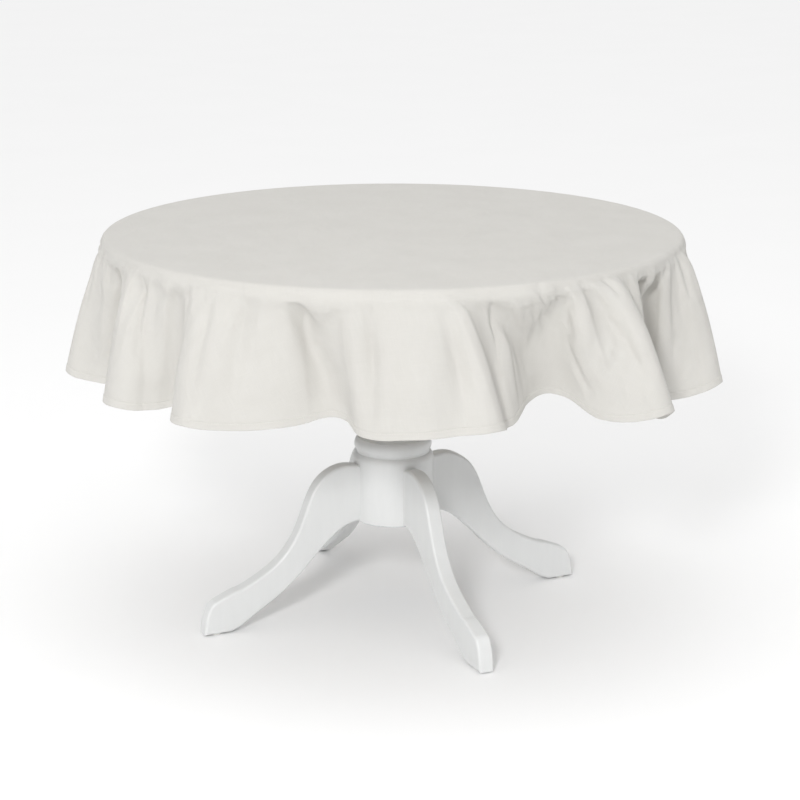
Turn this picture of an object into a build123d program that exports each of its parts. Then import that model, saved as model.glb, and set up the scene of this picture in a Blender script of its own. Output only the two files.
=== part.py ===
from build123d import *

import os
from math import cos, radians, sin, sqrt

# A round pedestal table with a round tablecloth draped over it.
# Millimetres. Z = 0 is the floor, the column stands on the Z axis, and -Y is the table's front.

# ---------------------------------------------------------------- driving dimensions

TABLE_HEIGHT = 749.0  # floor to the bare wooden top
TOP_DIAMETER = 1090.0
TOP_THICKNESS = 25.0
TOP_ROUND = 10.0  # rounding of the top's upper rim
TOP_LOWER_ROUND = 4.0

LEG_COUNT = 4
FIRST_LEG_AZIMUTH = 25.4  # degrees from +X to the first leg, seen from above
LEG_THICKNESS = 30.0
LEG_ROUND = 5.0

HUB_RADIUS = 78.5
HUB_BOTTOM = 186.0
HUB_TOP = 305.0
HUB_WALL = 33.5
HUB_CAVITY_TOP = 292.0

BEARER_LENGTH = 760.0
BEARER_WIDTH = 70.0
BEARER_HEIGHT = 32.0
BEARER_TAPER = 60.0
BEARER_END_HEIGHT = 12.0

CAP_PLATE_DIAMETER = 200.0
CAP_PLATE_THICKNESS = 18.0
CAP_PLATE_CHAMFER = 4.0
TENON_DIAMETER = 50.0

CLOTH_THICKNESS = 0.8
CLOTH_GAP = 0.3  # air left between the cloth and the wood
SKIRT_TOP = 735.0  # where the skirt leaves the rim
HEM_HEIGHT = 14.0
HEM_BOTTOM = 498.0
HEM_PROUD = 0.8  # how far the turned hem stands out on each side

BOLT_HEIGHTS = (215.0, 270.0)  # the two hanger bolts of each leg
BOLT_DIAMETER = 8.0
DOWEL_HEIGHT = 242.5
DOWEL_DIAMETER = 10.0
GLIDE_RADIUS_FROM_AXIS = 374.0
GLIDE_DIAMETER = 22.0
GLIDE_THICKNESS = 3.0
GLIDE_ROUND = 1.0
GLIDE_NAIL_RADIUS = 1.5
GLIDE_NAIL_LENGTH = 15.0
CLEARANCE = 0.05  # radial play of a fastener in its hole
END_PLAY = 0.5  # how much deeper a hole is than its fastener

# Folds of the skirt, anticlockwise: azimuth in degrees and radius of the hem at each outward
# crest, and at the inward trough that follows it.
SKIRT_CRESTS = (
    (4, 614), (31, 618), (59, 610), (87, 606), (115, 614), (142, 618), (169, 616),
    (193, 624), (219, 608), (240, 606), (279, 598), (314, 654), (338, 640),
)
SKIRT_TROUGHS = (
    (18, 556), (45, 556), (73, 557), (101, 556), (128, 557), (156, 556), (182, 557),
    (208, 560), (229, 562), (258, 556), (302, 556), (328, 572), (351, 556),
)

# ---------------------------------------------------------------- derived dimensions

top_underside = TABLE_HEIGHT - TOP_THICKNESS
bearer_bottom = top_underside - BEARER_HEIGHT
cap_plate_bottom = bearer_bottom - CAP_PLATE_THICKNESS
half_lap = BEARER_HEIGHT / 2
hub_cavity_radius = HUB_RADIUS - HUB_WALL
leg_azimuths = [FIRST_LEG_AZIMUTH + 360 / LEG_COUNT * i for i in range(LEG_COUNT)]
leg_names = ("leg_right", "leg_back", "leg_left", "leg_front")
joinery_plane = Plane.XY.rotated((0, 0, FIRST_LEG_AZIMUTH))

os.makedirs("parts", exist_ok=True)


def save(piece, label):
    """Label a finished piece and write its STEP file."""
    piece.label = label
    export_step(piece, f"parts/{label}.step")


def ring_of_places(radius, height, azimuths):
    """Places at one radius and height, each turned so that its X axis points outwards."""
    return [
        Location((radius * cos(radians(a)), radius * sin(radians(a)), height), (0, 0, a))
        for a in azimuths
    ]


def outward_places(radius, height):
    """Places for a fastener that points outwards, one in front of each leg."""
    quarter_turn = Location((0, 0, 0), (0, 90, 0))
    return [place * quarter_turn for place in ring_of_places(radius, height, leg_azimuths)]


def countersunk_screw(length, shank_radius):
    """A cross-head wood screw pointing up, its flat head's face at the origin."""
    head_radius = shank_radius * 2
    head_height = shank_radius * 1.2
    with BuildPart() as screw:
        with BuildSketch(Plane.XZ):
            with BuildLine():
                Polyline(
                    (0, 0),
                    (head_radius, 0),
                    (shank_radius, head_height),
                    (shank_radius, length - 2 * shank_radius),
                    (0.4, length),
                    (0, length),
                    close=True,
                )
            make_face()
        revolve(axis=Axis.Z)
        with BuildSketch(Plane.XY):
            Rectangle(head_radius * 1.1, shank_radius * 0.35)
            Rectangle(shank_radius * 0.35, head_radius * 1.1)
        extrude(amount=head_height * 0.6, mode=Mode.SUBTRACT)
    return screw.part


# ---------------------------------------------------------------- fastener places

bearer_screw_length = 45.0
bearer_screw_radius = 2.5
bearer_screw_places = [
    place
    for radius in (140.0, 285.0)
    for place in ring_of_places(radius, bearer_bottom, leg_azimuths)
]

cap_screw_length = 40.0
cap_screw_radius = 2.5
cap_screw_places = ring_of_places(78.0, cap_plate_bottom, leg_azimuths)

coach_screw_radius = 5.0
coach_screw_length = 90.0
counterbore_radius = 14.0
counterbore_depth = 10.0
counterbore_floor = top_underside - counterbore_depth
coach_screw_point = 8.0  # length of the tapered end
coach_head_across_flats = 17.0
coach_head_height = 6.5
coach_washer_thickness = 2.0
coach_washer_radius = 12.0

hanger_bolt_inner = 29.0
hanger_bolt_outer = HUB_RADIUS + 38.0
nut_inner = 33.5
nut_outer = 40.0
nut_across_flats = 13.0
crescent_washer_width = 20.0
crescent_washer_height = 22.0
dowel_reach = 20.0
dowel_inner = HUB_RADIUS - dowel_reach
dowel_outer = HUB_RADIUS + dowel_reach

plate_thickness = 2.5
plate_radius = 75.0
plate_screw_radius = 2.0
plate_screw_length = 25.0
plate_screw_head_radius = 4.0
plate_screw_head_height = 2.2
plate_screw_places = ring_of_places(62.0, HUB_BOTTOM - plate_thickness, [a + 45 for a in leg_azimuths])

# ---------------------------------------------------------------- tabletop

with BuildPart() as tabletop:
    with BuildSketch(Plane.XY.offset(top_underside)):
        Circle(TOP_DIAMETER / 2)
    extrude(amount=TOP_THICKNESS)
    fillet(tabletop.edges().group_by(Axis.Z)[-1], radius=TOP_ROUND)
    fillet(tabletop.edges().group_by(Axis.Z)[0], radius=TOP_LOWER_ROUND)
    with Locations(*bearer_screw_places):
        Cylinder(
            radius=bearer_screw_radius + CLEARANCE,
            height=bearer_screw_length + END_PLAY,
            align=(Align.CENTER, Align.CENTER, Align.MIN),
            mode=Mode.SUBTRACT,
        )
save(tabletop.part, "tabletop")

# ---------------------------------------------------------------- bearers under the top


def bearer_plane(azimuth):
    """Upright plane along a bearer: its X axis runs along the bearer, its Y axis points up."""
    along = Vector(cos(radians(azimuth)), sin(radians(azimuth)), 0)
    across = Vector(-along.Y, along.X, 0)
    return Plane(origin=(0, 0, 0), x_dir=along, z_dir=across * -1)


def make_bearer(azimuth, notch_bottom, notch_top):
    """One batten with tapered ends, half cut away where the other batten crosses it."""
    half = BEARER_LENGTH / 2
    with BuildPart() as bearer:
        with BuildSketch(bearer_plane(azimuth)):
            with BuildLine():
                Polyline(
                    (-half, top_underside),
                    (half, top_underside),
                    (half, top_underside - BEARER_END_HEIGHT),
                    (half - BEARER_TAPER, bearer_bottom),
                    (BEARER_TAPER - half, bearer_bottom),
                    (-half, top_underside - BEARER_END_HEIGHT),
                    close=True,
                )
            make_face()
        extrude(amount=BEARER_WIDTH / 2, both=True)
        with BuildSketch(joinery_plane.offset(notch_bottom)):
            Rectangle(BEARER_WIDTH, BEARER_WIDTH)
        extrude(amount=notch_top - notch_bottom, mode=Mode.SUBTRACT)
        with Locations(*bearer_screw_places):
            Cone(
                bottom_radius=2 * bearer_screw_radius + CLEARANCE,
                top_radius=bearer_screw_radius + CLEARANCE,
                height=1.2 * bearer_screw_radius,
                align=(Align.CENTER, Align.CENTER, Align.MIN),
                mode=Mode.SUBTRACT,
            )
            Cylinder(
                radius=bearer_screw_radius + CLEARANCE,
                height=BEARER_HEIGHT,
                align=(Align.CENTER, Align.CENTER, Align.MIN),
                mode=Mode.SUBTRACT,
            )
        with Locations(*cap_screw_places):
            Cylinder(
                radius=cap_screw_radius + CLEARANCE,
                height=cap_screw_length + END_PLAY,
                align=(Align.CENTER, Align.CENTER, Align.MIN),
                mode=Mode.SUBTRACT,
            )
        with Locations((0, 0, bearer_bottom)):
            Cylinder(
                radius=coach_screw_radius + CLEARANCE,
                height=BEARER_HEIGHT,
                align=(Align.CENTER, Align.CENTER, Align.MIN),
                mode=Mode.SUBTRACT,
            )
        with Locations((0, 0, counterbore_floor)):
            Cylinder(
                radius=counterbore_radius,
                height=counterbore_depth,
                align=(Align.CENTER, Align.CENTER, Align.MIN),
                mode=Mode.SUBTRACT,
            )
    return bearer.part


lap_level = bearer_bottom + half_lap
save(make_bearer(FIRST_LEG_AZIMUTH, lap_level, top_underside), "bearer_long")
save(make_bearer(FIRST_LEG_AZIMUTH + 90, bearer_bottom, lap_level), "bearer_cross")

bearer_screw = countersunk_screw(bearer_screw_length, bearer_screw_radius)
with BuildPart() as bearer_screws:
    with Locations(*bearer_screw_places):
        add(bearer_screw)
save(bearer_screws.part, "bearer_screws")

# ---------------------------------------------------------------- cap plate of the column

with BuildPart() as column_cap_plate:
    with BuildSketch(Plane.XY.offset(cap_plate_bottom)):
        Circle(CAP_PLATE_DIAMETER / 2)
        Circle(TENON_DIAMETER / 2 + CLEARANCE, mode=Mode.SUBTRACT)
    extrude(amount=CAP_PLATE_THICKNESS)
    outer_lower_edge = column_cap_plate.edges().group_by(Axis.Z)[0].sort_by(SortBy.RADIUS)[-1]
    chamfer(outer_lower_edge, length=CAP_PLATE_CHAMFER)
    with Locations(*cap_screw_places):
        Cone(
            bottom_radius=2 * cap_screw_radius + CLEARANCE,
            top_radius=cap_screw_radius + CLEARANCE,
            height=1.2 * cap_screw_radius,
            align=(Align.CENTER, Align.CENTER, Align.MIN),
            mode=Mode.SUBTRACT,
        )
        Cylinder(
            radius=cap_screw_radius + CLEARANCE,
            height=CAP_PLATE_THICKNESS,
            align=(Align.CENTER, Align.CENTER, Align.MIN),
            mode=Mode.SUBTRACT,
        )
save(column_cap_plate.part, "column_cap_plate")

cap_screw = countersunk_screw(cap_screw_length, cap_screw_radius)
with BuildPart() as cap_plate_screws:
    with Locations(*cap_screw_places):
        add(cap_screw)
save(cap_plate_screws.part, "cap_plate_screws")

# ---------------------------------------------------------------- turned column

with BuildPart() as pedestal_column:
    with BuildSketch(Plane.XZ):
        with BuildLine():
            Line((0, HUB_BOTTOM), (HUB_RADIUS, HUB_BOTTOM))
            Line((HUB_RADIUS, HUB_BOTTOM), (HUB_RADIUS, HUB_TOP))
            ThreePointArc((HUB_RADIUS, HUB_TOP), (76.4, 313), (71, 318))
            Line((71, 318), (71, 322))
            ThreePointArc((71, 322), (75, 334), (68, 346))
            Line((68, 346), (62, 346))
            ThreePointArc((62, 346), (50, 353), (46, 366))
            Spline(
                (46, 366),
                (57, 430),
                (50, 500),
                (40, 590),
                tangents=((0, 1), (-0.04, 1)),
            )
            Line((40, 590), (47, 596))
            ThreePointArc((47, 596), (52, 606), (47, 616))
            Line((47, 616), (41, 620))
            ThreePointArc((41, 620), (45, 645), (58, 660))
            Line((58, 660), (58, cap_plate_bottom))
            Line((58, cap_plate_bottom), (TENON_DIAMETER / 2, cap_plate_bottom))
            Line((TENON_DIAMETER / 2, cap_plate_bottom), (TENON_DIAMETER / 2, bearer_bottom))
            Line((TENON_DIAMETER / 2, bearer_bottom), (0, bearer_bottom))
            Line((0, bearer_bottom), (0, HUB_BOTTOM))
        make_face()
    revolve(axis=Axis.Z)
    with BuildSketch(Plane.XY.offset(HUB_BOTTOM)):
        Circle(hub_cavity_radius)
    extrude(amount=HUB_CAVITY_TOP - HUB_BOTTOM, mode=Mode.SUBTRACT)
    for bolt_height in BOLT_HEIGHTS:
        with Locations(*outward_places(hub_cavity_radius - 5, bolt_height)):
            Cylinder(
                radius=BOLT_DIAMETER / 2 + CLEARANCE,
                height=HUB_WALL + 10,
                align=(Align.CENTER, Align.CENTER, Align.MIN),
                mode=Mode.SUBTRACT,
            )
    with Locations(*outward_places(dowel_inner - END_PLAY, DOWEL_HEIGHT)):
        Cylinder(
            radius=DOWEL_DIAMETER / 2 + CLEARANCE,
            height=dowel_reach + 5,
            align=(Align.CENTER, Align.CENTER, Align.MIN),
            mode=Mode.SUBTRACT,
        )
    with Locations(*plate_screw_places):
        Cylinder(
            radius=plate_screw_radius + CLEARANCE,
            height=plate_screw_length + END_PLAY,
            align=(Align.CENTER, Align.CENTER, Align.MIN),
            mode=Mode.SUBTRACT,
        )
    with Locations((0, 0, counterbore_floor - coach_screw_length - END_PLAY)):
        Cylinder(
            radius=coach_screw_radius + CLEARANCE,
            height=coach_screw_length,
            align=(Align.CENTER, Align.CENTER, Align.MIN),
            mode=Mode.SUBTRACT,
        )
save(pedestal_column.part, "pedestal_column")

with BuildPart() as centre_coach_screw:
    with BuildSketch(Plane.XZ):
        with BuildLine():
            Polyline(
                (0, counterbore_floor + coach_washer_thickness),
                (coach_screw_radius, counterbore_floor + coach_washer_thickness),
                (coach_screw_radius, counterbore_floor - coach_screw_length + coach_screw_point),
                (1, counterbore_floor - coach_screw_length),
                (0, counterbore_floor - coach_screw_length),
                close=True,
            )
        make_face()
    revolve(axis=Axis.Z)
    with BuildSketch(Plane.XY.offset(counterbore_floor + coach_washer_thickness)):
        RegularPolygon(radius=coach_head_across_flats / 2, side_count=6, major_radius=False)
    extrude(amount=coach_head_height)
save(centre_coach_screw.part, "centre_coach_screw")

with BuildPart() as centre_washer:
    with BuildSketch(Plane.XY.offset(counterbore_floor)):
        Circle(coach_washer_radius)
        Circle(coach_screw_radius + CLEARANCE, mode=Mode.SUBTRACT)
    extrude(amount=coach_washer_thickness)
save(centre_washer.part, "centre_washer")

# ---------------------------------------------------------------- legs

sole_heel = (347.0, GLIDE_THICKNESS)
sole_toe = (400.0, GLIDE_THICKNESS)


def make_leg(azimuth):
    """One curved leg: an S-shaped board whose inner end fits round the hub."""
    with BuildPart() as leg:
        with BuildSketch(bearer_plane(azimuth)):
            with BuildLine():
                Line((60, 186.5), (60, 297))
                Spline(
                    (60, 297),
                    (112, 301.5),
                    (150, 286),
                    (194, 211),
                    (260, 119),
                    (328, 84),
                    (377, 66),
                    tangents=((1, 0.04), (1, -0.42)),
                )
                Spline((377, 66), (392, 46), sole_toe, tangents=((1, -0.55), (0.08, -1)))
                Line(sole_toe, sole_heel)
                Spline(
                    sole_heel,
                    (308, 23),
                    (228, 75),
                    (163, 137),
                    (118, 175),
                    (84, 187),
                    tangents=((-1, 0.25), (-1, 0.12)),
                )
                Line((84, 187), (60, 186.5))
            make_face()
        extrude(amount=LEG_THICKNESS / 2, both=True)
        inner_end = leg.edges().filter_by(Axis.Z)
        thickness_axis = Axis((0, 0, 0), bearer_plane(azimuth).z_dir)
        across_the_board = leg.edges().filter_by(thickness_axis)
        fillet(leg.edges() - inner_end - across_the_board, radius=LEG_ROUND)
        with BuildSketch(Plane.XY.offset(HUB_BOTTOM - 10)):
            Circle(HUB_RADIUS)
        extrude(amount=HUB_TOP - HUB_BOTTOM + 20, mode=Mode.SUBTRACT)
        for height in BOLT_HEIGHTS:
            with Locations(*outward_places(HUB_RADIUS - 10, height)):
                Cylinder(
                    radius=BOLT_DIAMETER / 2 + CLEARANCE,
                    height=hanger_bolt_outer - HUB_RADIUS + 10 + END_PLAY,
                    align=(Align.CENTER, Align.CENTER, Align.MIN),
                    mode=Mode.SUBTRACT,
                )
        with Locations(*outward_places(HUB_RADIUS - 10, DOWEL_HEIGHT)):
            Cylinder(
                radius=DOWEL_DIAMETER / 2 + CLEARANCE,
                height=dowel_reach + 10 + END_PLAY,
                align=(Align.CENTER, Align.CENTER, Align.MIN),
                mode=Mode.SUBTRACT,
            )
        with Locations(*ring_of_places(GLIDE_RADIUS_FROM_AXIS, GLIDE_THICKNESS, leg_azimuths)):
            Cylinder(
                radius=GLIDE_NAIL_RADIUS + CLEARANCE,
                height=GLIDE_NAIL_LENGTH + END_PLAY,
                align=(Align.CENTER, Align.CENTER, Align.MIN),
                mode=Mode.SUBTRACT,
            )
    return leg.part


for leg_name, leg_azimuth in zip(leg_names, leg_azimuths):
    save(make_leg(leg_azimuth), leg_name)

# ---------------------------------------------------------------- leg fasteners

with BuildPart() as hanger_bolts:
    for bolt_height in BOLT_HEIGHTS:
        with Locations(*outward_places(hanger_bolt_inner, bolt_height)):
            Cylinder(
                radius=BOLT_DIAMETER / 2,
                height=hanger_bolt_outer - hanger_bolt_inner,
                align=(Align.CENTER, Align.CENTER, Align.MIN),
            )
save(hanger_bolts.part, "hanger_bolts")

with BuildPart() as one_washer:
    with Locations((nut_outer, 0, 0)):
        Box(
            hub_cavity_radius - nut_outer + 1,
            crescent_washer_width,
            crescent_washer_height,
            align=(Align.MIN, Align.CENTER, Align.CENTER),
        )
    Cylinder(radius=hub_cavity_radius, height=2 * crescent_washer_height, mode=Mode.INTERSECT)
    with Locations(Location((nut_outer, 0, 0), (0, 90, 0))):
        Cylinder(
            radius=BOLT_DIAMETER / 2 + CLEARANCE,
            height=crescent_washer_width,
            mode=Mode.SUBTRACT,
        )

with BuildPart() as crescent_washers:
    for bolt_height in BOLT_HEIGHTS:
        with Locations(*ring_of_places(0, bolt_height, leg_azimuths)):
            add(one_washer.part)
save(crescent_washers.part, "crescent_washers")

with BuildPart() as one_nut:
    with BuildSketch(Plane.YZ.offset(nut_inner)):
        RegularPolygon(radius=nut_across_flats / 2, side_count=6, major_radius=False)
        Circle(BOLT_DIAMETER / 2 + CLEARANCE, mode=Mode.SUBTRACT)
    extrude(amount=nut_outer - nut_inner)

with BuildPart() as hex_nuts:
    for bolt_height in BOLT_HEIGHTS:
        with Locations(*ring_of_places(0, bolt_height, leg_azimuths)):
            add(one_nut.part)
save(hex_nuts.part, "hex_nuts")

with BuildPart() as leg_dowels:
    with Locations(*outward_places(dowel_inner, DOWEL_HEIGHT)):
        Cylinder(
            radius=DOWEL_DIAMETER / 2,
            height=dowel_outer - dowel_inner,
            align=(Align.CENTER, Align.CENTER, Align.MIN),
        )
save(leg_dowels.part, "leg_dowels")

# ---------------------------------------------------------------- plate under the hub

with BuildPart() as hub_base_plate:
    with BuildSketch(Plane.XY.offset(HUB_BOTTOM - plate_thickness)):
        Circle(plate_radius)
    extrude(amount=plate_thickness)
    with Locations(*plate_screw_places):
        Cylinder(
            radius=plate_screw_radius + CLEARANCE,
            height=plate_thickness,
            align=(Align.CENTER, Align.CENTER, Align.MIN),
            mode=Mode.SUBTRACT,
        )
save(hub_base_plate.part, "hub_base_plate")

with BuildPart() as one_plate_screw:
    Cylinder(
        radius=plate_screw_radius,
        height=plate_screw_length,
        align=(Align.CENTER, Align.CENTER, Align.MIN),
    )
    Cylinder(
        radius=plate_screw_head_radius,
        height=plate_screw_head_height,
        align=(Align.CENTER, Align.CENTER, Align.MAX),
    )
    fillet(one_plate_screw.edges().group_by(Axis.Z)[0], radius=0.7 * plate_screw_head_height)

with BuildPart() as base_plate_screws:
    with Locations(*plate_screw_places):
        add(one_plate_screw.part)
save(base_plate_screws.part, "base_plate_screws")

# ---------------------------------------------------------------- foot glides

with BuildPart() as one_glide:
    Cylinder(
        radius=GLIDE_DIAMETER / 2,
        height=GLIDE_THICKNESS,
        align=(Align.CENTER, Align.CENTER, Align.MIN),
    )
    fillet(one_glide.edges().group_by(Axis.Z)[0], radius=GLIDE_ROUND)
    with Locations((0, 0, GLIDE_THICKNESS)):
        Cylinder(
            radius=GLIDE_NAIL_RADIUS,
            height=GLIDE_NAIL_LENGTH,
            align=(Align.CENTER, Align.CENTER, Align.MIN),
        )

with BuildPart() as foot_glides:
    with Locations(*ring_of_places(GLIDE_RADIUS_FROM_AXIS, 0, leg_azimuths)):
        add(one_glide.part)
save(foot_glides.part, "foot_glides")

# ---------------------------------------------------------------- tablecloth

cloth_inner_radius = TOP_DIAMETER / 2 + CLOTH_GAP
cloth_outer_radius = cloth_inner_radius + CLOTH_THICKNESS
cloth_under = TABLE_HEIGHT + CLOTH_GAP
cloth_top = cloth_under + CLOTH_THICKNESS
inner_round = TOP_ROUND + CLOTH_GAP
outer_round = inner_round + CLOTH_THICKNESS
hem_top = HEM_BOTTOM + HEM_HEIGHT


def fold_spans():
    """Each fold of the skirt as its trough, its crest and the next trough, in order of azimuth."""
    before_first = (SKIRT_TROUGHS[-1][0] - 360, SKIRT_TROUGHS[-1][1])
    troughs = (before_first,) + SKIRT_TROUGHS
    return list(zip(troughs, SKIRT_CRESTS, troughs[1:]))


def hem_outline(offset):
    """The wavy outline of the skirt's lower edge, moved outwards by offset, one spline per fold."""
    for fold in fold_spans():
        points = [
            ((radius + offset) * cos(radians(azimuth)), (radius + offset) * sin(radians(azimuth)))
            for azimuth, radius in fold
        ]
        start, end = radians(fold[0][0]), radians(fold[2][0])
        Spline(*points, tangents=((-sin(start), cos(start)), (-sin(end), cos(end))))


def rim_outline(radius):
    """The circle at the top of the skirt, cut into one arc per fold so that the folds hang plumb."""
    for before, _, after in fold_spans():
        CenterArc((0, 0), radius, start_angle=before[0], arc_size=after[0] - before[0])


def skirt_body(offset):
    """The solid bell inside the skirt's outer surface moved outwards by offset."""
    with BuildPart() as bell:
        with BuildSketch(Plane.XY.offset(SKIRT_TOP)):
            with BuildLine():
                rim_outline(cloth_outer_radius + offset)
            make_face()
        with BuildSketch(Plane.XY.offset(hem_top)):
            with BuildLine():
                hem_outline(offset)
            make_face()
        loft(ruled=True)
    return bell.part


skirt_outer = skirt_body(0)
skirt_inner = skirt_body(-CLOTH_THICKNESS)

with BuildPart() as tablecloth:
    add(skirt_outer)
    add(skirt_inner, mode=Mode.SUBTRACT)
    with BuildSketch(Plane.XZ):
        with BuildLine():
            inner_flat = cloth_inner_radius - inner_round
            diagonal = sqrt(0.5)
            Line((0, cloth_under), (inner_flat, cloth_under))
            ThreePointArc(
                (inner_flat, cloth_under),
                (inner_flat + inner_round * diagonal, cloth_under - inner_round * (1 - diagonal)),
                (cloth_inner_radius, cloth_under - inner_round),
            )
            Line((cloth_inner_radius, cloth_under - inner_round), (cloth_inner_radius, SKIRT_TOP))
            Line((cloth_inner_radius, SKIRT_TOP), (cloth_outer_radius, SKIRT_TOP))
            Line((cloth_outer_radius, SKIRT_TOP), (cloth_outer_radius, cloth_top - outer_round))
            ThreePointArc(
                (cloth_outer_radius, cloth_top - outer_round),
                (inner_flat + outer_round * diagonal, cloth_top - outer_round * (1 - diagonal)),
                (inner_flat, cloth_top),
            )
            Line((inner_flat, cloth_top), (0, cloth_top))
            Line((0, cloth_top), (0, cloth_under))
        make_face()
    revolve(axis=Axis.Z)
save(tablecloth.part, "tablecloth")

with BuildPart() as tablecloth_hem:
    with BuildSketch(Plane.XY.offset(HEM_BOTTOM)):
        with BuildLine():
            hem_outline(HEM_PROUD)
        make_face()
        with BuildLine():
            hem_outline(-CLOTH_THICKNESS - HEM_PROUD)
        make_face(mode=Mode.SUBTRACT)
    extrude(amount=HEM_HEIGHT)
save(tablecloth_hem.part, "tablecloth_hem")
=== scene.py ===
import math

import bpy
import numpy as np
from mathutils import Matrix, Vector


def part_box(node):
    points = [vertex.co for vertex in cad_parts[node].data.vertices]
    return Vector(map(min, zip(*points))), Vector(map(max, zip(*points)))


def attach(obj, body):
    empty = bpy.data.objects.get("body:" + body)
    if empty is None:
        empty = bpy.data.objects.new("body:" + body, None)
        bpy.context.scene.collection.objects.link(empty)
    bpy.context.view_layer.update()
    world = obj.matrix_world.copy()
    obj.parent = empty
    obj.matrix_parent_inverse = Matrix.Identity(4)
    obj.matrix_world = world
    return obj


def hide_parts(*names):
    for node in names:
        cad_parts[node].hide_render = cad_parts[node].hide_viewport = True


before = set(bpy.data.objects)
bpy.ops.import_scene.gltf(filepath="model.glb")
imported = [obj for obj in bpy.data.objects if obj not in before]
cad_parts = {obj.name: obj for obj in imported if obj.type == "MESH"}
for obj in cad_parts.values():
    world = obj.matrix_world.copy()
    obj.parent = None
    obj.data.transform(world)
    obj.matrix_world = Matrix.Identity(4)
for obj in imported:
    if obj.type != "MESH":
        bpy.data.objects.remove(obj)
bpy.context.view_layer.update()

# ---------------------------------------------------------------- sizes, in metres

TOP_LOW, TOP_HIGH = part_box("tabletop")
CLOTH_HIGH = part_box("tablecloth")[1]

CLOTH_RADIUS = 0.80  # of the flat cloth, which is cut as a circle
CLOTH_THICKNESS = 0.0008
# How much further the cloth hangs in some directions, which are azimuths in degrees. This is a
# correction fitted to the hem's outline in the photo, and not something seen in the cloth.
CLOTH_UNEVEN = ((-168, -0.002), (-140, 0.001), (-113, -0.002), (-86, -0.004), (-58, 0.009),
                (-40, 0.014), (-18, 0.003), (40, 0.002), (110, -0.002))

TOP_RADIUS = (TOP_HIGH[0] - TOP_LOW[0]) / 2
TOP_ROUND = 0.010  # rounding of the top's upper rim
CLOTH_STANDOFF = 0.0007  # from the tabletop to the middle of the cloth's thickness, round the rim
CLOTH_Z = CLOTH_HIGH[2] - CLOTH_THICKNESS / 2  # middle of the cloth's thickness on the top
RIM_RADIUS = TOP_RADIUS + CLOTH_STANDOFF
RIM_ROUND = TOP_ROUND + CLOTH_STANDOFF
FLAT_TO_RIM = RIM_RADIUS - RIM_ROUND  # where the cloth starts to turn down
FLAT_TO_SKIRT = FLAT_TO_RIM + RIM_ROUND * math.pi / 2  # where it has turned down, along the cloth
SKIRT_Z = CLOTH_Z - RIM_ROUND

RADIAL_LINES = 540
SKIRT_ROWS = 30
FLARE_POWER = 0.75  # below 1, the folds open fast under the rim and hang steeper lower down
HEM_ROUNDS = 12  # passes that fit the radial lines to the folded hem
FIRST_DROP = 0.23  # a first guess of how far the hem hangs below the rim
LEAST_DROP = 0.1
TUCK_BELOW = 0.002  # under the tabletop, where the rough shape may start to turn in
TUCK_SLOPE = 0.6  # how far it may turn in for each metre further down

# The hem seen from above, anticlockwise: azimuth in degrees and distance from the table's axis.
# From -168 to -8 it is set to meet the photo's outline; the rest isn't seen and is made up.
HEM_FOLDS = (
    (-168, 0.622), (-164, 0.582), (-157, 0.512),
    (-148.5, 0.602), (-143.5, 0.600), (-140.5, 0.548), (-136, 0.508),
    (-131, 0.580), (-126, 0.600), (-119.5, 0.560), (-110, 0.506), (-102, 0.470),
    (-98.5, 0.490), (-95.5, 0.535), (-91.5, 0.560), (-88.5, 0.562), (-84, 0.572), (-80, 0.573),
    (-76, 0.584), (-72, 0.584), (-70, 0.562), (-69.5, 0.545), (-66.5, 0.522),
    (-58, 0.462), (-52.5, 0.470),
    (-48.5, 0.580), (-43.5, 0.662), (-39, 0.590), (-35.5, 0.488), (-31.5, 0.496),
    (-27, 0.560), (-21, 0.640), (-14.5, 0.585), (-8, 0.500),
    (-1, 0.560), (5, 0.622), (11, 0.570), (17, 0.498),
    (25, 0.570), (32, 0.626), (39, 0.560), (45, 0.495),
    (52, 0.560), (59, 0.619), (66, 0.560), (73, 0.498),
    (80, 0.565), (87, 0.617), (94, 0.560), (101, 0.496),
    (108, 0.565), (115, 0.623), (122, 0.560), (128, 0.498),
    (135, 0.565), (142, 0.626), (149, 0.560), (155, 0.498),
    (162, 0.560), (169, 0.619), (176, 0.560), (182, 0.500),
)

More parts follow.
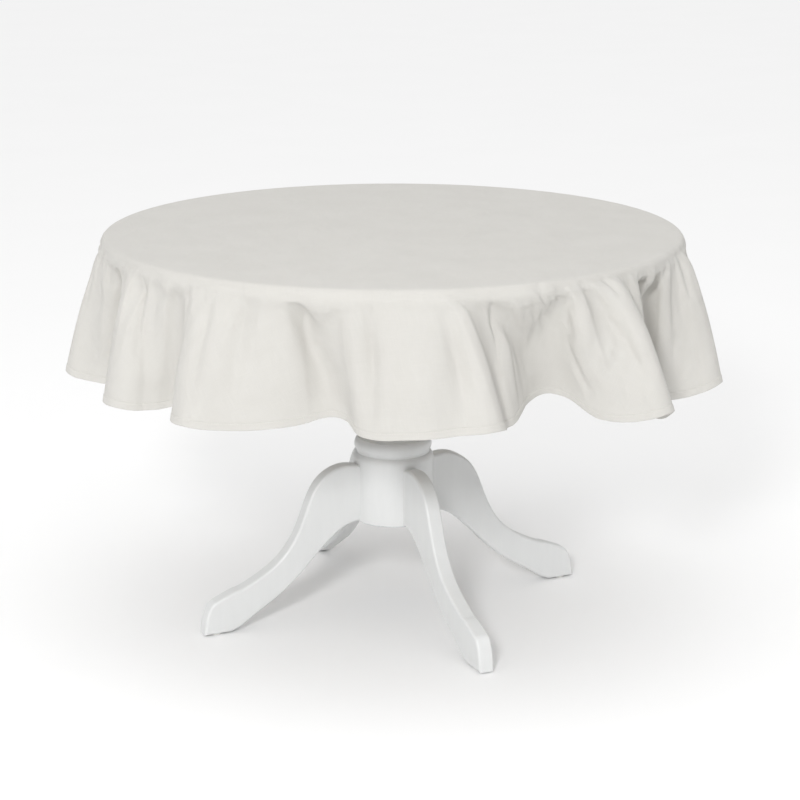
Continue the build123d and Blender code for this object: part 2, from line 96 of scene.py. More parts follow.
# Creases down the skirt: azimuth at the rim and at the hem, depth in metres, half width in degrees,
# and where the crease starts, is deepest and ends, as shares of the skirt's height. The first 14
# follow shaded bands in the photo and the others are made up.
CREASES = (
    (-166, -163, 0.012, 2.4, 0.00, 0.30, 0.95), (-154, -156, 0.020, 2.2, 0.02, 0.35, 1.05),
    (-142, -138, 0.024, 2.6, 0.02, 0.18, 0.75), (-129, -128, 0.010, 1.6, 0.02, 0.22, 0.65),
    (-123, -123, 0.014, 1.7, 0.02, 0.30, 0.90), (-116, -118, 0.012, 1.7, 0.02, 0.25, 0.80),
    (-107.5, -104, 0.024, 1.7, 0.00, 0.30, 0.95), (-94.5, -96.5, 0.017, 1.4, 0.02, 0.40, 1.05),
    (-82, -84.5, 0.019, 1.9, 0.05, 0.60, 1.15), (-73, -76, 0.015, 1.6, 0.02, 0.30, 1.00),
    (-62, -70, 0.012, 2.2, 0.02, 0.35, 0.80), (-54, -49, 0.016, 1.7, 0.02, 0.45, 0.85),
    (-37, -35, 0.034, 1.8, 0.00, 0.25, 1.00), (-30.5, -29, 0.020, 1.4, 0.00, 0.30, 0.90),
    (-12, -11, 0.011, 1.9, 0.02, 0.35, 0.85), (8, 9, 0.011, 1.8, 0.02, 0.30, 0.80),
    (28, 26, 0.012, 2.0, 0.02, 0.40, 0.90), (36, 37, 0.010, 1.7, 0.02, 0.25, 0.60),
    (56, 55, 0.013, 1.9, 0.02, 0.40, 1.05), (84, 86, 0.011, 2.0, 0.02, 0.30, 0.80),
    (98, 97, 0.010, 1.7, 0.02, 0.30, 0.75), (118, 116, 0.014, 2.0, 0.02, 0.45, 1.05),
    (139, 141, 0.011, 1.8, 0.02, 0.30, 0.85), (166, 168, 0.012, 2.1, 0.02, 0.40, 0.90),
)


# ---------------------------------------------------------------- cloth: shape before the drape


def closed_curve(points, steps):
    """Points along a smooth closed curve through the given ones (centripetal Catmull-Rom)."""
    p = np.array(points, float)
    before, after, beyond = np.roll(p, 1, axis=0), np.roll(p, -1, axis=0), np.roll(p, -2, axis=0)
    gaps = np.sqrt(np.linalg.norm(after - p, axis=1))[:, None]
    gaps_before, gaps_after = np.roll(gaps, 1, axis=0), np.roll(gaps, -1, axis=0)
    start = ((p - before) / gaps_before - (after - before) / (gaps_before + gaps)
             + (after - p) / gaps) * gaps
    end = ((after - p) / gaps - (beyond - p) / (gaps + gaps_after)
           + (beyond - after) / gaps_after) * gaps
    t = (np.arange(steps) / steps)[:, None, None]
    curve = ((2 * t**3 - 3 * t**2 + 1) * p + (t**3 - 2 * t**2 + t) * start
             + (3 * t**2 - 2 * t**3) * after + (t**3 - t**2) * end)
    return curve.transpose(1, 0, 2).reshape(-1, 2)


def cut_radius(theta):
    """How far the cloth's cut edge is from the table's axis, measured along the flat cloth."""
    azimuth, extra = np.radians([a for a, _ in CLOTH_UNEVEN]), [e for _, e in CLOTH_UNEVEN]
    turns = np.linspace(0, 2 * math.pi, 361)[:-1]
    uneven = np.interp(turns, azimuth, extra, period=2 * math.pi)
    blur = np.hanning(23) / np.hanning(23).sum()
    uneven = np.convolve(np.tile(uneven, 3), blur, "same")[360:720]
    return CLOTH_RADIUS + np.interp(theta, turns, uneven, period=2 * math.pi)


def hem_line(thetas):
    """Where the radial lines of the cloth end: a curve about as long as the cut edge, folded in plan."""
    folds = [(r * math.cos(math.radians(a)), r * math.sin(math.radians(a))) for a, r in HEM_FOLDS]
    plan = closed_curve(folds, 100)
    azimuth = np.unwrap(np.arctan2(plan[:, 1], plan[:, 0]))
    fine = np.linspace(-math.pi * 2, math.pi * 4, 12001)
    edge = np.concatenate([[0], np.cumsum(np.diff(fine) * cut_radius(fine[1:]))])
    height = np.full(len(plan), SKIRT_Z - FIRST_DROP)
    for _ in range(HEM_ROUNDS):
        points = np.column_stack([plan, height])
        steps = np.linalg.norm(np.roll(points, -1, axis=0) - points, axis=1)
        along = np.concatenate([[0], np.cumsum(steps)])[:-1]
        turn = np.interp(2 * math.pi, fine, edge) - np.interp(0, fine, edge)
        along = along * turn / steps.sum()
        guess = np.interp(azimuth[0], fine, edge)
        theta = np.interp(guess + along, edge, fine)
        theta = np.interp(np.interp(theta + (azimuth - theta).mean(), fine, edge), edge, fine)
        rim = RIM_RADIUS * np.column_stack([np.cos(theta), np.sin(theta)])
        length = cut_radius(theta) - FLAT_TO_SKIRT
        out = np.linalg.norm(plan - rim, axis=1)
        height = SKIRT_Z - np.sqrt(np.maximum(length**2 - out**2, LEAST_DROP**2))
    order = np.argsort(theta % (2 * math.pi))
    wrapped = (theta % (2 * math.pi))[order]
    return np.column_stack([
        np.interp(thetas % (2 * math.pi), wrapped, points[order, axis], period=2 * math.pi)
        for axis in range(3)
    ])


def cloth_rows():
    """Distances along the flat cloth from the table's axis, as shares: 0 to 1 on the top, then 1
    to 2 round the rim, then 2 to 3 down the skirt."""
    top = np.concatenate([np.linspace(0.1, 0.8, 6), np.linspace(0.88, 1, 5)])
    rim = 1 + np.linspace(0, 1, 4)[1:]
    skirt = 2 + np.linspace(0, 1, SKIRT_ROWS + 1)[1:]
    return np.concatenate([top, rim, skirt])


def cloth_shapes():
    """The cloth's points laid flat, and the same points draped roughly over the table."""
    thetas = np.arange(RADIAL_LINES) * 2 * math.pi / RADIAL_LINES
    out = np.column_stack([np.cos(thetas), np.sin(thetas)])
    hem = hem_line(thetas)
    length = cut_radius(thetas) - FLAT_TO_SKIRT
    rim = np.column_stack([RIM_RADIUS * out, np.full(RADIAL_LINES, SKIRT_Z)])
    previous_swing = 0
    flat, draped = [np.zeros((1, 3))], [np.array([[0, 0, CLOTH_Z]])]
    for row in cloth_rows():
        if row <= 1:
            distance = np.full(RADIAL_LINES, row * FLAT_TO_RIM)
            place = np.column_stack([distance[:, None] * out, np.full(RADIAL_LINES, CLOTH_Z)])
        elif row <= 2:
            turn = (row - 1) * math.pi / 2
            distance = np.full(RADIAL_LINES, FLAT_TO_RIM + turn * RIM_ROUND)
            radius = FLAT_TO_RIM + RIM_ROUND * math.sin(turn)
            height = SKIRT_Z + RIM_ROUND * math.cos(turn)
            place = np.column_stack([radius * out, np.full(RADIAL_LINES, height)])
        else:
            down = row - 2
            distance = FLAT_TO_SKIRT + down * length
            swing = down**FLARE_POWER - previous_swing
            previous_swing = down**FLARE_POWER
            aside = swing * (hem - rim)[:, :2]
            step = length / SKIRT_ROWS
            drop = np.sqrt(np.maximum(step**2 - (aside**2).sum(axis=1), (0.3 * step)**2))
            place = np.column_stack([place[:, :2] + aside, place[:, 2] - drop])
        flat.append(np.column_stack([distance[:, None] * out, np.zeros(RADIAL_LINES)]))
        draped.append(place)
    flat, draped = np.vstack(flat), np.vstack(draped)
    radius = np.linalg.norm(draped[:, :2], axis=1)
    under_top = np.maximum(TOP_LOW[2] - TUCK_BELOW - draped[:, 2], 0)
    least = RIM_RADIUS - TUCK_SLOPE * under_top
    push = np.where(draped[:, 2] < SKIRT_Z, np.maximum(least - radius, 0), 0)
    draped[:, :2] *= (1 + push / np.maximum(radius, 0.1))[:, None]
    return flat, draped


def mesh_object(name, points, faces):
    """A new object in the scene from points and faces."""
    mesh = bpy.data.meshes.new(name)
    mesh.from_pydata([tuple(p) for p in points], [], faces)
    mesh.update()
    piece = bpy.data.objects.new(name, mesh)
    bpy.context.scene.collection.objects.link(piece)
    return piece


# ---------------------------------------------------------------- cloth: the drape

DRAPE_STEPS = 60
DRAPE_SWEEPS = 10  # passes over all the threads in one step
STEP_SECONDS = 0.012
SPEED_KEPT = 0.95
SHEAR_STIFFNESS = 0.05  # woven cloth gives easily on the bias
BEND_STIFFNESS = 0.9  # share of a fold's bend that one sweep takes out
HOLD_START, HOLD_END = 0.6, 0.5  # share of the way back to the rough shape, in each step
PUCKER = 0.0002  # size of the first unevenness, which lets the cloth pucker under the rim
PUCKER_SEED = 11
GRAVITY = 9.81


def tie(a, b, rest, stiffness=1.0, mobile_a=1.0, slack=False):
    """Move the points a and b, which are arrays of the same shape, towards their flat distance."""
    span = b - a
    length = np.linalg.norm(span, axis=-1, keepdims=True)
    error = length - rest
    if slack:
        error = np.maximum(error, 0)
    move = span * (stiffness * error / (np.maximum(length, 1e-9) * (1 + mobile_a)))
    a += mobile_a * move
    b -= move


def keep_off_table(points):
    """Push points out of the tabletop, whose upper rim is rounded. This is done on the coarse grid,
    so points put in between afterwards can still graze the top's lower edge."""
    radius = np.hypot(points[..., 0], points[..., 1])
    corner_r, corner_z = TOP_RADIUS - TOP_ROUND, TOP_HIGH[2] - TOP_ROUND
    over_r, over_z = radius - corner_r, points[..., 2] - corner_z
    depth = np.hypot(over_r, over_z)
    on_round = (over_r > 0) & (over_z > 0) & (depth < RIM_ROUND)
    grow = np.where(on_round, RIM_ROUND / np.maximum(depth, 1e-6), 1)
    new_r = corner_r + over_r * grow
    new_z = corner_z + over_z * grow
    beside = (over_z <= 0) & (points[..., 2] > TOP_LOW[2] - 0.001) & (radius < RIM_RADIUS)
    new_r = np.where(on_round, new_r, np.where(beside, RIM_RADIUS, radius))
    above = (over_r <= 0) & (over_z > 0)
    lifted = np.where(above, np.maximum(points[..., 2], CLOTH_Z), points[..., 2])
    new_z = np.where(on_round, new_z, lifted)
    points[..., :2] *= (new_r / np.maximum(radius, 1e-6))[..., None]
    points[..., 2] = new_z


def drape(flat, draped):
    """Let the part of the cloth beyond the flat top settle under its own weight.

    The points are a grid of rows round the table and radial lines. Every pair of neighbours
    is drawn to the distance that it has in the flat cloth, ties over two and four threads resist
    bending, and the tabletop holds the cloth up. The cloth is also pulled strongly back to the rough
    shape, so this smooths the folds and doesn't make them."""
    first = int(np.nonzero(cloth_rows() >= 1)[0][0])
    rows = len(cloth_rows()) - first
    rest = flat[1:].reshape(-1, RADIAL_LINES, 3)[first:]
    rough = draped[1:].reshape(-1, RADIAL_LINES, 3)[first:]
    noise = np.random.default_rng(PUCKER_SEED)
    x = rough.copy()
    bumps = sum(
        noise.normal() / k**0.5 * np.cos(k * np.arange(RADIAL_LINES) * 2 * math.pi / RADIAL_LINES
                                        + noise.uniform(0, 2 * math.pi))
        for k in range(14, 60)
    )
    outwards = rough / np.linalg.norm(rough[..., :2], axis=-1, keepdims=True)
    outwards[..., 2] = 0
    fade = np.clip(np.arange(rows) / 4, 0, 1)[:, None, None]
    x += PUCKER * bumps[None, :, None] * outwards * fade

    def length_between(rows_a, lines_a, rows_b, lines_b):
        apart = rest[rows_b][:, lines_b] - rest[rows_a][:, lines_a]
        return np.linalg.norm(apart, axis=-1, keepdims=True)

    every = np.arange(RADIAL_LINES)
    pairs = []
    for start in (0, 1):
        upper = np.arange(start, rows - 1, 2)
        for aside, stiffness in ((0, 1.0), (1, SHEAR_STIFFNESS), (-1, SHEAR_STIFFNESS)):
            pairs.append((upper, every, upper + 1, (every + aside) % RADIAL_LINES, stiffness))
        even = np.arange(start, RADIAL_LINES, 2)
        pairs.append((np.arange(1, rows), even, np.arange(1, rows), (even + 1) % RADIAL_LINES, 1.0))
    for gap in (2, 4):
        for start in (0, 1):
            upper = np.array([i for i in range(rows - gap) if (i // gap) % 2 == start])
            pairs.append((upper, every, upper + gap, every, BEND_STIFFNESS))
            some = np.array([j for j in every if (j // gap) % 2 == start])
            pairs.append((np.arange(1, rows), some, np.arange(1, rows), (some + gap) % RADIAL_LINES,
                          BEND_STIFFNESS))
    ties = []
    for rows_a, lines_a, rows_b, lines_b, stiffness in pairs:
        gap = length_between(rows_a, lines_a, rows_b, lines_b)
        ties.append((np.ix_(rows_a, lines_a), np.ix_(rows_b, lines_b), gap, stiffness))
    row_gap = np.linalg.norm(rest[1:] - rest[:-1], axis=-1, keepdims=True)

    speed = np.zeros_like(x)
    fall = np.array([0, 0, -GRAVITY]) * STEP_SECONDS**2
    held = rough[0].copy()
    for step in range(DRAPE_STEPS):
        share = step / (DRAPE_STEPS - 1)
        hold = HOLD_START * (HOLD_END / HOLD_START)**share
        before = x.copy()
        x = x + SPEED_KEPT * speed + fall
        x += hold * (rough - x)
        for _ in range(DRAPE_SWEEPS):
            for a, b, gap, stiffness in ties:
                pa, pb = x[a], x[b]
                tie(pa, pb, gap, stiffness)
                x[a], x[b] = pa, pb
            keep_off_table(x)
            x[0] = held
        for row in range(rows - 1):
            tie(x[row], x[row + 1], row_gap[row], mobile_a=0, slack=True)
        speed = x - before
    settled = draped.copy()
    settled[1 + first * RADIAL_LINES:] = x.reshape(-1, 3)
    return settled


# ---------------------------------------------------------------- cloth: sheet, hem and stitches

HEM_WIDTH = 0.014  # of the turned-up edge
HEM_THICKNESS = 0.0024  # three layers of cloth
STITCH_UP = 0.0115  # from the cloth's edge to the line of stitches
GROOVE = 0.86  # of the hem's thickness, where the stitches pull it in
STITCH_PITCH = 0.0040
STITCH_LENGTH = 0.0031
THREAD_RADIUS = 0.00022


def between(values, finer, around):
    """Smooth values at finer steps along the first axis, which is closed if around is true."""
    count = len(values)
    steps = count * finer if around else (count - 1) * finer + 1
    place = np.arange(steps) / finer
    cell = np.minimum(place.astype(int), count - 1 if around else count - 2)
    t = (place - cell).reshape(-1, *([1] * (values.ndim - 1)))
    index = [cell + k for k in (-1, 0, 1, 2)]
    index = [i % count if around else np.clip(i, 0, count - 1) for i in index]
    a, b, c, d = (values[i] for i in index)
    return b + t * (c - a + t * (2 * a - 5 * b + 4 * c - d + t * (3 * (b - c) + d - a))) / 2


def ring_faces(rows, lines, closed_rows=False):
    """Quads of a grid that closes round the lines, and round the rows too if asked."""
    row = np.arange(rows if closed_rows else rows - 1)[:, None]
    line = np.arange(lines)[None, :]
    after, beyond = (row + 1) % rows, (line + 1) % lines
    quads = [row * lines + line, after * lines + line, after * lines + beyond, row * lines + beyond]
    return np.stack(quads, axis=-1).reshape(-1, 4)


def lay_flat_uv(piece, flat):
    """Store where each point lies on the flat cloth, in metres, as the UV layer of the weave."""
    layer = piece.data.uv_layers.new(name="flat")
    corners = np.zeros(len(piece.data.loops), np.int32)
    piece.data.loops.foreach_get("vertex_index", corners)
    layer.data.foreach_set("uv", flat[corners, :2].astype(np.float32).ravel())
    piece.data.polygons.foreach_set("use_smooth", [True] * len(piece.data.polygons))


def outward(grid):
    """Unit normals of a grid of rows by lines, away from the table."""
    around = np.roll(grid, -1, axis=1) - np.roll(grid, 1, axis=1)
    down = np.gradient(grid, axis=0)
    normal = np.cross(down, around)
    return normal / np.linalg.norm(normal, axis=-1, keepdims=True)


def along_lines(grid, normal, distance, up):
    """Points and normals of the cloth a distance up from its edge, on every line."""
    last = np.cumsum(np.linalg.norm(np.diff(grid[::-1], axis=0), axis=-1), axis=0)
    last = np.vstack([np.zeros(grid.shape[1]), last])
    row = (last < up).sum(axis=0).clip(1, len(grid) - 1)
    line = np.arange(grid.shape[1])
    low, high = last[row - 1, line], last[row, line]
    share = ((up - low) / (high - low))[:, None]
    flipped = grid[::-1], normal[::-1], distance[::-1]
    return [f[row - 1, line] * (1 - share) + f[row, line] * share for f in flipped]


def make_sheet(grid, flat):
    """The cloth itself, down to inside its hem."""
    lines = grid.shape[1]
    centre = np.array([[0, 0, grid[0, 0, 2]]])
    points = np.vstack([centre, grid.reshape(-1, 3)])
    flat = np.vstack([np.zeros((1, 3)), flat.reshape(-1, 3)])
    fan = [(0, 1 + j, 1 + (j + 1) % lines) for j in range(lines)]
    quads = ring_faces(grid.shape[0], lines) + 1
    sheet = mesh_object("cloth_sheet", points, fan + quads.tolist())
    lay_flat_uv(sheet, flat)
    solid = sheet.modifiers.new("cloth thickness", "SOLIDIFY")
    solid.thickness = CLOTH_THICKNESS
    solid.offset = 0
    return sheet


def make_hem(grid, normal, flat):
    """The turned-up edge: a flat band of three layers whose lower edge is rounded."""
    half = HEM_THICKNESS / 2
    side = [(0.0004, 0.62), (0.0012, 0.93), (0.0022, 1.0), (0.0070, 0.97), (0.0100, 1.0),
            (STITCH_UP, GROOVE), (0.0128, 1.0), (0.0136, 0.85), (HEM_WIDTH, 0.34)]
    section = [(0, 0)] + side + [(up, -out) for up, out in side[::-1]]
    rings, flats = [], []
    for up, out in section:
        point, direction, lie = along_lines(grid, normal, flat, up)
        rings.append(point + direction * half * out)
        flats.append(lie)
    lines = grid.shape[1]
    hem = mesh_object("cloth_hem", np.vstack(rings), ring_faces(len(rings), lines, True).tolist())
    lay_flat_uv(hem, np.vstack(flats))
    return hem


def make_stitches(grid, normal, flat):
    """Running stitches along the hem, sunk a little into it, on its outer and its inner face."""
    line, direction, _ = along_lines(grid, normal, flat, STITCH_UP)
    steps = np.linalg.norm(np.roll(line, -1, axis=0) - line, axis=1)
    along = np.concatenate([[0], np.cumsum(steps)])
    closed_line, closed_way = np.vstack([line, line[:1]]), np.vstack([direction, direction[:1]])
    count = int(along[-1] / STITCH_PITCH)
    lengths = np.array([-0.5, -0.42, -0.22, 0, 0.22, 0.42, 0.5]) * STITCH_LENGTH
    swell = np.array([0.25, 0.8, 1.05, 1.1, 1.05, 0.8, 0.25]) * THREAD_RADIUS
    rise = np.array([-0.9, 0.1, 0.5, 0.6, 0.5, 0.1, -0.9]) * THREAD_RADIUS
    sides = 6
    turn = np.arange(sides) * 2 * math.pi / sides
    places = ((np.arange(count) + 0.5) * along[-1] / count)[:, None] + lengths
    centres = np.stack([np.interp(places, along, closed_line[:, k]) for k in range(3)], axis=-1)
    ways = np.stack([np.interp(places, along, closed_way[:, k]) for k in range(3)], axis=-1)
    ways /= np.linalg.norm(ways, axis=-1, keepdims=True)
    run = np.gradient(centres, axis=1)
    across = np.cross(ways, run)
    across /= np.linalg.norm(across, axis=-1, keepdims=True)
    points, faces = [], []
    for face in (1, -1):
        middle = centres + face * ways * (HEM_THICKNESS / 2 * GROOVE + rise[:, None])
        outer = face * ways[:, :, None] * np.sin(turn)[:, None]
        sideways = across[:, :, None] * np.cos(turn)[:, None]
        ring = middle[:, :, None] + swell[:, None, None] * (outer + sideways)
        base = sum(len(p) for p in points)
        points.append(ring.reshape(-1, 3))
        rings = len(lengths)
        start = base + np.arange(count)[:, None, None] * rings * sides
        row, side = np.arange(rings - 1)[None, :, None] * sides, np.arange(sides)[None, None, :]
        after = (side + 1) % sides
        quads = [start + row + side, start + row + after, start + row + sides + after,
                 start + row + sides + side]
        faces += np.stack(quads, axis=-1).reshape(-1, 4).tolist()
        for stitch in range(count):
            first = base + stitch * rings * sides
            faces.append([first + k for k in range(sides)][::-1])
            faces.append([first + (rings - 1) * sides + k for k in range(sides)])
    stitches = mesh_object("hem_stitches", np.vstack(points), faces)
    stitches.data.polygons.foreach_set("use_smooth", [True] * len(stitches.data.polygons))
    return stitches


CREASE_SHARPNESS = 1.6  # 2 is a bell curve across the crease, and less is sharper


def press_creases(grid):
    """Press the creases into the skirt, at right angles to the cloth. This stretches the cloth."""
    azimuths = np.arange(RADIAL_LINES) * 360 / RADIAL_LINES
    depth = np.zeros(grid.shape[:2])
    for i, down in enumerate(cloth_rows() - 2):
        for rim_azimuth, hem_azimuth, deepest, width, start, middle, end in CREASES:
            if start < down < end:
                limit = start if down < middle else end
                reach = (down - limit) / (middle - limit)
                off = (azimuths - rim_azimuth - (hem_azimuth - rim_azimuth) * down + 180) % 360 - 180
                across = np.exp(-np.abs(off / width)**CREASE_SHARPNESS)
                depth[i] += deepest * math.sin(reach * math.pi / 2) * across
    grid -= depth[..., None] * outward(grid)
    keep_off_table(grid)


def make_cloth():
    """The sheet of cloth, its hem and its stitches, draped over the tabletop."""
    flat, draped = cloth_shapes()
    draped = drape(flat, draped)
    grid = draped[1:].reshape(-1, RADIAL_LINES, 3)
    press_creases(grid)
    lie = flat[1:].reshape(-1, RADIAL_LINES, 3)
    grid, lie = between(grid, 2, False), between(lie, 2, False)
    grid = between(grid.transpose(1, 0, 2), 2, True).transpose(1, 0, 2)
    lie = between(lie.transpose(1, 0, 2), 2, True).transpose(1, 0, 2)
    normal = outward(grid)
    sheet = make_sheet(grid[:-1], lie[:-1])
    hem = make_hem(grid, normal, lie)
    stitches = make_stitches(grid, normal, lie)
    return sheet, hem, stitches


# ---------------------------------------------------------------- materials


class Nodes:
    """A new material and short ways to add nodes to it."""

    def __init__(self, name):
        self.material = bpy.data.materials.new(name)
        self.material.use_nodes = True
        self.tree = self.material.node_tree
        self.shader = self.tree.nodes["Principled BSDF"]

    def add(self, kind, inputs=None, **settings):
        node = self.tree.nodes.new(kind)
        for key, value in settings.items():
            setattr(node, key, value)
        for key, value in (inputs or {}).items():
            self.put(node.inputs[key], value)
        return node

    def put(self, socket, value):
        if isinstance(value, bpy.types.NodeSocket):
            self.tree.links.new(value, socket)
        else:
            socket.default_value = value

    def math(self, operation, *values):
        node = self.add("ShaderNodeMath", operation=operation)
        for socket, value in zip(node.inputs, values):
            self.put(socket, value)
        return node.outputs[0]

    def noise(self, vector, scale, detail=2.0, roughness=0.5, distortion=0.0):
        return self.add("ShaderNodeTexNoise", {
            "Vector": vector, "Scale": scale, "Detail": detail, "Roughness": roughness,
            "Distortion": distortion}).outputs["Fac"]

    def stretch(self, vector, scale):
        return self.add("ShaderNodeMapping", {"Vector": vector, "Scale": scale}).outputs[0]

    def ramp(self, value, low, high, to_low, to_high):
        return self.add("ShaderNodeMapRange", {
            "Value": value, "From Min": low, "From Max": high, "To Min": to_low,
            "To Max": to_high}).outputs[0]

    def mix(self, share, a, b):
        node = self.add("ShaderNodeMix", data_type="RGBA")
        self.put(node.inputs[0], share)
        self.put(node.inputs[6], a)
        self.put(node.inputs[7], b)
        return node.outputs[2]

    def bump(self, height, strength, distance):
        return self.add("ShaderNodeBump", {
            "Height": height, "Strength": strength, "Distance": distance}).outputs[0]

    def object_place(self):
        return self.add("ShaderNodeTexCoord").outputs["Object"]

    def set(self, **inputs):
        for key, value in inputs.items():
            self.put(self.shader.inputs[key.replace("_", " ")], value)


THREAD_PITCH = 0.00055
COTTON_LIGHT = (0.625, 0.612, 0.580, 1)
# The dark colour below is a darker tone of the cotton at random, and also the painted shade in the gaps
# between the threads.
COTTON_DARK_AND_GAP_SHADE = (0.535, 0.521, 0.488, 1)
COTTON_SLUB = (0.700, 0.688, 0.658, 1)


def cotton_material():
    """Plain-woven cotton: two sets of threads that pass over and under, with slubs and nap, and painted
    shade in the gaps between the threads.
    """
    n = Nodes("off white cotton")
    place = n.add("ShaderNodeUVMap", uv_map="flat").outputs[0]
    parts = n.add("ShaderNodeSeparateXYZ", {"Vector": place}).outputs
    wander = n.math("MULTIPLY", n.noise(place, 60, 3), THREAD_PITCH * 1.5)
    turns = math.pi / THREAD_PITCH
    across = n.math("MULTIPLY", n.math("ADD", parts[0], wander), turns)
    up = n.math("MULTIPLY", n.math("ADD", parts[1], wander), turns)
    warp = n.math("ABSOLUTE", n.math("SINE", across))
    weft = n.math("ABSOLUTE", n.math("SINE", up))
    turn = n.math("MULTIPLY", n.math("SINE", across), n.math("SINE", up))
    over = n.ramp(turn, -0.25, 0.25, 0, 1)
    threads = n.math("ADD", n.math("MULTIPLY", warp, over),
                     n.math("MULTIPLY", weft, n.math("SUBTRACT", 1.0, over)))
    slub_warp = n.noise(n.stretch(place, (1500, 28, 1)), 1.0, 3, 0.6)
    slub_weft = n.noise(n.stretch(place, (28, 1500, 1)), 1.0, 3, 0.6)
    slubs = n.ramp(n.math("MAXIMUM", slub_warp, slub_weft), 0.50, 0.78, 0, 1)
    mottle = n.noise(place, 9, 4, 0.55)
    base = n.mix(n.ramp(mottle, 0.35, 0.7, 0.0, 0.30), COTTON_LIGHT, COTTON_DARK_AND_GAP_SHADE)
    # Painted shade: the gaps between the threads are darkened, where the dips of the weave would be in
    # shade.
    base = n.mix(n.ramp(threads, 0.0, 0.8, 0.40, 0.0), base, COTTON_DARK_AND_GAP_SHADE)
    base = n.mix(n.math("MULTIPLY", slubs, 0.40), base, COTTON_SLUB)
    fibres = n.noise(place, 5200, 2)
    height = n.math("ADD", threads, n.math("MULTIPLY", slubs, 0.7))
    height = n.math("ADD", height, n.math("MULTIPLY", fibres, 0.5))
    crumple = n.noise(n.stretch(place, (30, 17, 1)), 1.0, 3, 0.45, 0.4)
    creased = n.bump(crumple, 0.60, 0.004)
    weave = n.add("ShaderNodeBump", {"Height": height, "Strength": 0.60, "Distance": 0.00025,
                                     "Normal": creased}).outputs[0]
    n.set(Base_Color=base, Roughness=n.ramp(threads, 0, 1, 0.96, 0.84),
          Sheen_Weight=0.12, Sheen_Roughness=0.45, Normal=weave)
    n.shader.inputs["Specular IOR Level"].default_value = 0.25
    return n.material


def thread_material():
    """Spun sewing thread: two strands twisted together, with painted shade in the groove between them.
    """
    n = Nodes("off white thread")
    place = n.object_place()
    twist = n.add("ShaderNodeTexWave", {
        "Vector": place, "Scale": 900.0, "Distortion": 2.0, "Detail": 1.0},
        wave_type="BANDS", bands_direction="DIAGONAL").outputs["Fac"]
    # Painted shade: the colour is darker in the groove between the twisted strands and lighter on their
    # crests.
    base = n.mix(twist, (0.58, 0.56, 0.52, 1), (0.76, 0.745, 0.705, 1))
    n.set(Base_Color=base, Roughness=n.ramp(twist, 0, 1, 0.8, 0.6), Sheen_Weight=0.15,
          Normal=n.bump(twist, 0.5, 0.0001))
    return n.material


def painted_wood_material():
    """Satin white paint, brushed on over wood whose grain just shows."""
    n = Nodes("satin white paint")
    place = n.object_place()
    brush = n.noise(n.stretch(place, (60, 60, 9)), 1.0, 4, 0.6)
    grain = n.noise(n.stretch(place, (240, 240, 14)), 1.0, 5, 0.65, 0.6)
    orange_peel = n.noise(place, 420, 2)
    wear = n.ramp(n.noise(place, 7, 5, 0.6), 0.62, 0.80, 0, 1)
    strokes = n.ramp(brush, 0.3, 0.7, 0, 0.35)
    base = n.mix(strokes, (0.755, 0.762, 0.758, 1), (0.700, 0.708, 0.705, 1))
    base = n.mix(n.math("MULTIPLY", wear, 0.25), base, (0.66, 0.65, 0.625, 1))
    height = n.math("ADD", n.math("MULTIPLY", grain, 0.6), n.math("MULTIPLY", orange_peel, 0.25))
    height = n.math("ADD", height, brush)
    n.set(Base_Color=base, Roughness=n.ramp(n.math("ADD", brush, wear), 0.3, 1.2, 0.36, 0.56),
          Coat_Weight=0.10, Coat_Roughness=0.30, Normal=n.bump(height, 0.35, 0.0004))
    return n.material


def bare_wood_material():
    """Planed pine: rings stretched along the piece, with darker pores."""
    n = Nodes("bare pine")
    place = n.object_place()
    bent = n.noise(place, 3.5, 3)
    rings = n.add("ShaderNodeTexWave", {
        "Vector": n.stretch(place, (3, 26, 34)), "Scale": 1.1, "Distortion": 5.0, "Detail": 3.0,
        "Detail Scale": 1.2, "Phase Offset": bent}, wave_type="RINGS", rings_direction="X"
    ).outputs["Fac"]
    pores = n.noise(n.stretch(place, (18, 900, 900)), 1.0, 3, 0.6)
    base = n.mix(rings, (0.52, 0.35, 0.19, 1), (0.70, 0.52, 0.32, 1))
    base = n.mix(n.ramp(pores, 0.55, 0.75, 0, 0.5), base, (0.36, 0.22, 0.11, 1))
    height = n.math("SUBTRACT", rings, n.math("MULTIPLY", pores, 1.5))
    n.set(Base_Color=base, Roughness=n.ramp(rings, 0, 1, 0.72, 0.55),
          Normal=n.bump(height, 0.3, 0.0003))
    return n.material


def steel_material():
    """Zinc-plated steel: a spangled plate, dulled in patches."""
    n = Nodes("zinc plated steel")
    place = n.object_place()
    spangle = n.add("ShaderNodeTexVoronoi", {"Vector": place, "Scale": 500.0}).outputs["Distance"]
    haze = n.noise(place, 160, 4, 0.6)
    base = n.mix(n.ramp(haze, 0.35, 0.7, 0, 1), (0.66, 0.68, 0.70, 1), (0.47, 0.48, 0.49, 1))
    dull = n.math("ADD", haze, n.math("MULTIPLY", spangle, 0.3))
    n.set(Base_Color=base, Metallic=1.0, Roughness=n.ramp(dull, 0.3, 1.0, 0.26, 0.52),
          Normal=n.bump(haze, 0.15, 0.0002))
    return n.material


def nylon_material():
    """Moulded white nylon with a fine texture, scuffed where it slides."""
    n = Nodes("white nylon")
    place = n.object_place()
    pits = n.noise(place, 1400, 2)
    scuff = n.ramp(n.noise(n.stretch(place, (90, 500, 90)), 1.0, 4), 0.5, 0.75, 0, 1)
    base = n.mix(n.math("MULTIPLY", scuff, 0.5), (0.78, 0.77, 0.74, 1), (0.55, 0.54, 0.51, 1))
    n.set(Base_Color=base, Roughness=n.ramp(scuff, 0, 1, 0.42, 0.66),
          Normal=n.bump(pits, 0.2, 0.0001))
    n.shader.inputs["Subsurface Weight"].default_value = 0.05
    n.shader.inputs["Subsurface Scale"].default_value = 0.002
    return n.material


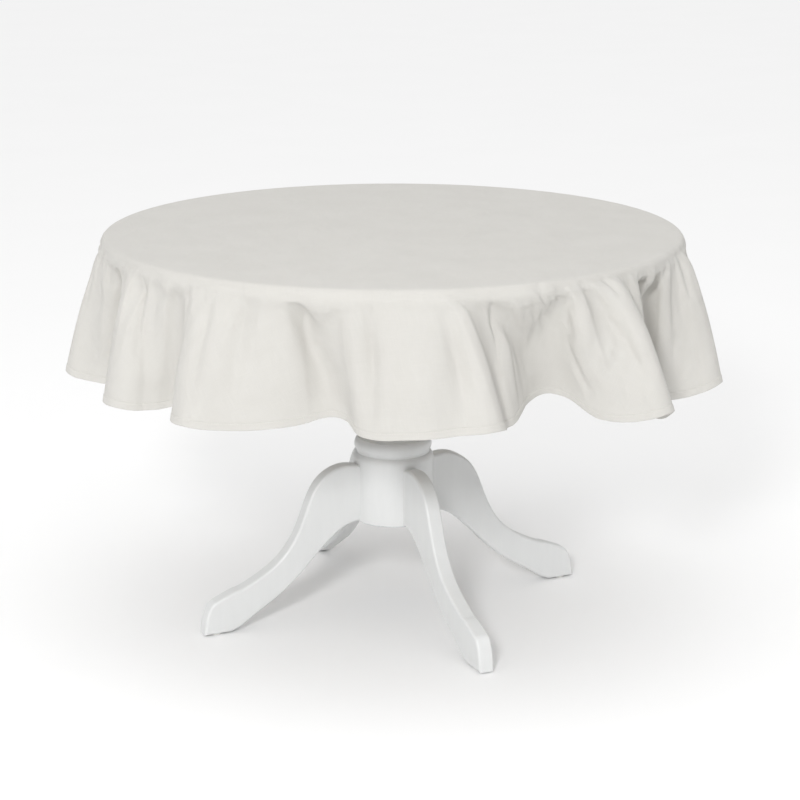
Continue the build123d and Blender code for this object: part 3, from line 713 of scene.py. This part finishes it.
def floor_material():
    """Pale, even studio floor."""
    n = Nodes("studio floor")
    mottle = n.noise(n.object_place(), 2.0, 3)
    n.set(Base_Color=n.mix(mottle, (0.93, 0.93, 0.93, 1), (0.95, 0.95, 0.95, 1)),
          Roughness=n.ramp(mottle, 0, 1, 0.85, 0.9))
    return n.material


FINISHES = {  # the nodes of the frame that stay on show, by finish
    "paint": ("tabletop", "pedestal_column", "leg_right", "leg_back", "leg_left", "leg_front"),
    "wood": ("bearer_long", "bearer_cross", "column_cap_plate", "leg_dowels"),
    "steel": ("bearer_screws", "cap_plate_screws", "centre_coach_screw", "centre_washer",
              "hanger_bolts", "crescent_washers", "hex_nuts", "hub_base_plate", "base_plate_screws"),
    "nylon": ("foot_glides",),
}


def wear_one(piece, material):
    """Give a piece this material and no other."""
    piece.data.materials.clear()
    piece.data.materials.append(material)


# ---------------------------------------------------------------- the object

sheet, hem, stitches = make_cloth()
for piece in (sheet, hem, stitches):
    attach(piece, "cloth")
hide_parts("tablecloth")
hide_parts("tablecloth_hem")

cotton = cotton_material()
wear_one(sheet, cotton)
wear_one(hem, cotton)
wear_one(stitches, thread_material())
finishes = {"paint": painted_wood_material(), "wood": bare_wood_material(),
            "steel": steel_material(), "nylon": nylon_material()}
for finish, names in FINISHES.items():
    for name in names:
        wear_one(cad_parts[name], finishes[finish])

# ---------------------------------------------------------------- floor, camera and lights

bpy.ops.mesh.primitive_plane_add(size=40, location=(0, 0, 0))
floor = bpy.context.object
floor.name = "studio_floor"
wear_one(floor, floor_material())

CAMERA_PLACE = (0.0136, -3.9446, 1.4815)
CAMERA_DOWN = 0.2636  # radians below level
FOCAL_LENGTH, SENSOR_WIDTH = 95.4, 36  # in mm

scene = bpy.context.scene
lens = bpy.data.cameras.new("camera")
lens.lens = FOCAL_LENGTH
lens.sensor_width = SENSOR_WIDTH
camera = bpy.data.objects.new("camera", lens)
scene.collection.objects.link(camera)
camera.location = CAMERA_PLACE
camera.rotation_euler = (math.pi / 2 - CAMERA_DOWN, 0, 0)
scene.camera = camera


def area_light(name, place, aim, size, power):
    """A white rectangular lamp at a place, turned to shine at the aim."""
    light = bpy.data.lights.new(name, "AREA")
    light.shape = "RECTANGLE"
    light.size, light.size_y = size
    light.energy = power
    lamp = bpy.data.objects.new(name, light)
    lamp.location = place
    lamp.rotation_euler = (Vector(aim) - Vector(place)).to_track_quat("-Z", "Y").to_euler()
    scene.collection.objects.link(lamp)


area_light("key softbox", (-0.9, -4.8, 2.75), (0, 0, 0.5), (0.8, 0.8), 124)

AT_HORIZON, OVERHEAD = 0.14, 1.30  # strength of the surrounding light
BACKDROP = 0.88  # what the camera sees beyond the floor, the same in every direction

world = bpy.data.worlds.new("studio")
world.use_nodes = True
nodes, links = world.node_tree.nodes, world.node_tree.links
background = nodes["Background"]
background.inputs["Color"].default_value = (1, 1, 1, 1)
towards = nodes.new("ShaderNodeSeparateXYZ")
overhead = nodes.new("ShaderNodeMapRange")
overhead.inputs["To Min"].default_value = AT_HORIZON
overhead.inputs["To Max"].default_value = OVERHEAD
links.new(nodes.new("ShaderNodeTexCoord").outputs["Generated"], towards.inputs[0])
links.new(towards.outputs["Z"], overhead.inputs["Value"])
seen = nodes.new("ShaderNodeMix")
seen.inputs["B"].default_value = BACKDROP
links.new(nodes.new("ShaderNodeLightPath").outputs["Is Camera Ray"], seen.inputs["Factor"])
links.new(overhead.outputs[0], seen.inputs["A"])
links.new(seen.outputs["Result"], background.inputs["Strength"])
scene.world = world
scene.view_settings.view_transform = "Standard"
scene.view_settings.exposure = 0.08
